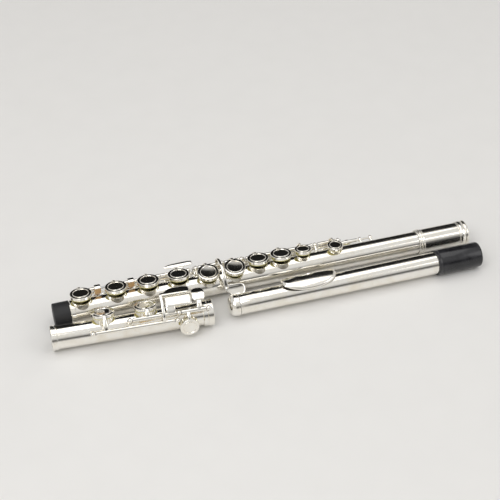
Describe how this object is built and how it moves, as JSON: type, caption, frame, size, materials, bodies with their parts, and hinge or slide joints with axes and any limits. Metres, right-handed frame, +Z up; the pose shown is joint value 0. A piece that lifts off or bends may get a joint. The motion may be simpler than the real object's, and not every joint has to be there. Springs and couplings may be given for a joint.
{
  "type": "concert flute in three sections",
  "caption": "Silver-plated transverse flute taken apart: keyed body, keyed foot and head with lip plate lie side by side, tenons capped.",
  "frame": {"origin": "middle of the footprint, on the ground", "axes": "+X along the body section towards its barrel, +Z up; the head and foot sections lie on the -Y side"},
  "size_m": [0.3788, 0.0688, 0.0359],
  "materials": {
    "silver_plate": "bright silver plate",
    "steel_rod": "drawn steel",
    "pad_skin": "pale yellow bladder skin over felt",
    "cap_plastic": "glossy black",
    "cork": "matte cork"
  },
  "bodies": {
    "body_section": {"body_tube": "silver_plate", "barrel": "silver_plate", "right_hand_rib": "silver_plate", "left_hand_rib": "silver_plate", "trill_rib": "silver_plate", "thumb_rib": "silver_plate", "right_hand_steel": "steel_rod", "left_hand_steel": "steel_rod", "g_steel": "steel_rod", "thumb_steel": "steel_rod"},
    "d_key": {"d_key": "silver_plate", "d_pad": "pad_skin"},
    "e_key": {"e_key": "silver_plate", "e_pad": "pad_skin"},
    "f_key": {"f_key": "silver_plate", "f_pad": "pad_skin"},
    "fsharp_key": {"fsharp_key": "silver_plate", "fsharp_pad": "pad_skin"},
    "lower_g_key": {"lower_g_key": "silver_plate", "lower_g_pad": "pad_skin"},
    "g_key": {"g_key": "silver_plate", "g_pad": "pad_skin"},
    "a_key": {"a_key": "silver_plate", "a_pad": "pad_skin"},
    "bflat_key": {"bflat_key": "silver_plate", "bflat_pad": "pad_skin"},
    "c_key": {"c_key": "silver_plate", "c_pad": "pad_skin"},
    "d_trill_cup": {"d_trill_cup": "silver_plate", "d_trill_pad": "pad_skin"},
    "d_trill_touch": {"d_trill_touch": "silver_plate"},
    "dsharp_trill_key": {"dsharp_trill_key": "silver_plate", "dsharp_trill_pad": "pad_skin"},
    "bflat_side_lever": {"bflat_side_lever": "silver_plate"},
    "gsharp_key": {"gsharp_key": "silver_plate", "gsharp_pad": "pad_skin"},
    "thumb_b_key": {"thumb_b_key": "silver_plate", "thumb_b_pad": "pad_skin"},
    "thumb_bflat_lever": {"thumb_bflat_lever": "silver_plate"},
    "body_tenon_cap": {"body_tenon_cap": "cap_plastic"},
    "foot_section": {"foot_tube": "silver_plate", "foot_rib": "silver_plate", "foot_inner_steel": "steel_rod", "foot_outer_steel": "steel_rod"},
    "csharp_foot_key": {"csharp_foot_key": "silver_plate", "csharp_foot_pad": "pad_skin"},
    "c_foot_key": {"c_foot_key": "silver_plate", "c_foot_pad": "pad_skin"},
    "eflat_key": {"eflat_key": "silver_plate", "eflat_pad": "pad_skin"},
    "head_section": {"head_tube": "silver_plate", "riser": "silver_plate", "lip_plate": "silver_plate", "stopper_rod": "steel_rod", "stopper_cork": "cork"},
    "crown": {"crown": "silver_plate"},
    "head_tenon_cap": {"head_tenon_cap": "cap_plastic"}
  },
  "joints": [
    {"name": "d_key_hinge", "type": "hinge", "parent": "body_section", "child": "d_key", "pos_m": [-0.15759, 0.02742, 0.02031], "axis": [1, 0, 0], "range_deg": [0, 9], "stiffness_Nm_per_rad": 0.02, "springref_deg": -17.19},
    {"name": "e_key_hinge", "type": "hinge", "parent": "body_section", "child": "e_key", "pos_m": [-0.12809, 0.02742, 0.02031], "axis": [1, 0, 0], "range_deg": [0, 9], "stiffness_Nm_per_rad": 0.02, "springref_deg": -17.19},
    {"name": "f_key_hinge", "type": "hinge", "parent": "body_section", "child": "f_key", "pos_m": [-0.10049, 0.02742, 0.02031], "axis": [1, 0, 0], "range_deg": [0, 9], "stiffness_Nm_per_rad": 0.02, "springref_deg": -17.19},
    {"name": "fsharp_key_hinge", "type": "hinge", "parent": "body_section", "child": "fsharp_key", "pos_m": [-0.07429, 0.02742, 0.02031], "axis": [1, 0, 0], "range_deg": [0, 9], "stiffness_Nm_per_rad": 0.02, "springref_deg": -17.19},
    {"name": "lower_g_key_hinge", "type": "hinge", "parent": "body_section", "child": "lower_g_key", "pos_m": [-0.04949, 0.02444, 0.0235], "axis": [1, 0, 0], "range_deg": [0, 9], "stiffness_Nm_per_rad": 0.02, "springref_deg": -17.19},
    {"name": "g_key_hinge", "type": "hinge", "parent": "body_section", "child": "g_key", "pos_m": [-0.02619, 0.02444, 0.0235], "axis": [1, 0, 0], "range_deg": [0, 9], "stiffness_Nm_per_rad": 0.02, "springref_deg": -17.19},
    {"name": "a_key_hinge", "type": "hinge", "parent": "body_section", "child": "a_key", "pos_m": [-0.00419, 0.02742, 0.02031], "axis": [1, 0, 0], "range_deg": [0, 9], "stiffness_Nm_per_rad": 0.02, "springref_deg": -17.19},
    {"name": "bflat_key_hinge", "type": "hinge", "parent": "body_section", "child": "bflat_key", "pos_m": [0.01661, 0.02742, 0.02031], "axis": [1, 0, 0], "range_deg": [0, 9], "stiffness_Nm_per_rad": 0.02, "springref_deg": -17.19},
    {"name": "c_key_hinge", "type": "hinge", "parent": "body_section", "child": "c_key", "pos_m": [0.03651, 0.02742, 0.02031], "axis": [1, 0, 0], "range_deg": [0, 9], "stiffness_Nm_per_rad": 0.02, "springref_deg": -17.19},
    {"name": "d_trill_cup_hinge", "type": "hinge", "parent": "body_section", "child": "d_trill_cup", "pos_m": [0.06571, 0.02742, 0.02031], "axis": [1, 0, 0], "range_deg": [-8, 0], "stiffness_Nm_per_rad": 0.02, "springref_deg": 17.19},
    {"name": "d_trill_press", "type": "hinge", "parent": "body_section", "child": "d_trill_touch", "pos_m": [-0.11429, 0.02806, 0.01569], "axis": [1, 0, 0], "range_deg": [0, 7], "stiffness_Nm_per_rad": 0.02, "springref_deg": -17.19},
    {"name": "dsharp_trill_press", "type": "hinge", "parent": "body_section", "child": "dsharp_trill_key", "pos_m": [-0.14284, 0.02806, 0.01569], "axis": [1, 0, 0], "range_deg": [0, 7], "stiffness_Nm_per_rad": 0.02, "springref_deg": -17.19},
    {"name": "bflat_side_press", "type": "hinge", "parent": "body_section", "child": "bflat_side_lever", "pos_m": [-0.06899, 0.02742, 0.02031], "axis": [1, 0, 0], "range_deg": [-6, 0], "stiffness_Nm_per_rad": 0.02, "springref_deg": 17.19},
    {"name": "gsharp_press", "type": "hinge", "parent": "body_section", "child": "gsharp_key", "pos_m": [-0.03779, 0.02742, 0.02031], "axis": [1, 0, 0], "range_deg": [0, 7], "stiffness_Nm_per_rad": 0.02, "springref_deg": -17.19},
    {"name": "thumb_b_press", "type": "hinge", "parent": "body_section", "child": "thumb_b_key", "pos_m": [0.01741, 0.02256, 0.00209], "axis": [1, 0, 0], "range_deg": [0, 6], "stiffness_Nm_per_rad": 0.02, "springref_deg": -17.19},
    {"name": "thumb_bflat_press", "type": "hinge", "parent": "body_section", "child": "thumb_bflat_lever", "pos_m": [-0.00659, 0.02256, 0.00209], "axis": [1, 0, 0], "range_deg": [0, 6], "stiffness_Nm_per_rad": 0.02, "springref_deg": -17.19},
    {"name": "body_cap_pull", "type": "slide", "parent": "body_section", "child": "body_tenon_cap", "axis": [-1, 0, 0], "range_m": [0, 0.03]},
    {"name": "foot_lift", "type": "slide", "parent": "body_section", "child": "foot_section", "axis": [0, 0, 1], "range_m": [0, 0.06]},
    {"name": "csharp_foot_hinge", "type": "hinge", "parent": "foot_section", "child": "csharp_foot_key", "pos_m": [-0.11043, -0.02426, 0.02432], "axis": [0.9982, -0.0593, 0], "range_deg": [-1.5, 7.5], "stiffness_Nm_per_rad": 0.02},
    {"name": "c_foot_hinge", "type": "hinge", "parent": "foot_section", "child": "c_foot_key", "pos_m": [-0.14562, -0.02641, 0.0201], "axis": [0.9982, -0.0593, 0], "range_deg": [-1.17, 5.85], "stiffness_Nm_per_rad": 0.02},
    {"name": "eflat_press", "type": "hinge", "parent": "foot_section", "child": "eflat_key", "pos_m": [-0.07749, -0.02622, 0.02432], "axis": [0.9982, -0.0593, 0], "range_deg": [-7, 0], "stiffness_Nm_per_rad": 0.02, "springref_deg": 17.19},
    {"name": "head_lift", "type": "slide", "parent": "body_section", "child": "head_section", "axis": [0, 0, 1], "range_m": [0, 0.06]},
    {"name": "crown_turn", "type": "hinge", "parent": "head_section", "child": "crown", "pos_m": [-0.03659, -0.01703, 0.01115], "axis": [1, 0.0035, 0], "continuous": true},
    {"name": "head_cap_pull", "type": "slide", "parent": "head_section", "child": "head_tenon_cap", "axis": [1, 0.0035, 0], "range_m": [0, 0.045]}
  ],
  "couplings": [
    {"joint": "fsharp_key_hinge", "follows": "f_key_hinge", "ratio": 1},
    {"joint": "lower_g_key_hinge", "follows": "g_key_hinge", "ratio": 1},
    {"joint": "bflat_key_hinge", "follows": "a_key_hinge", "ratio": 1},
    {"joint": "d_trill_cup_hinge", "follows": "d_trill_press", "ratio": -1},
    {"joint": "csharp_foot_hinge", "follows": "c_foot_hinge", "ratio": 1.28}
  ]
}
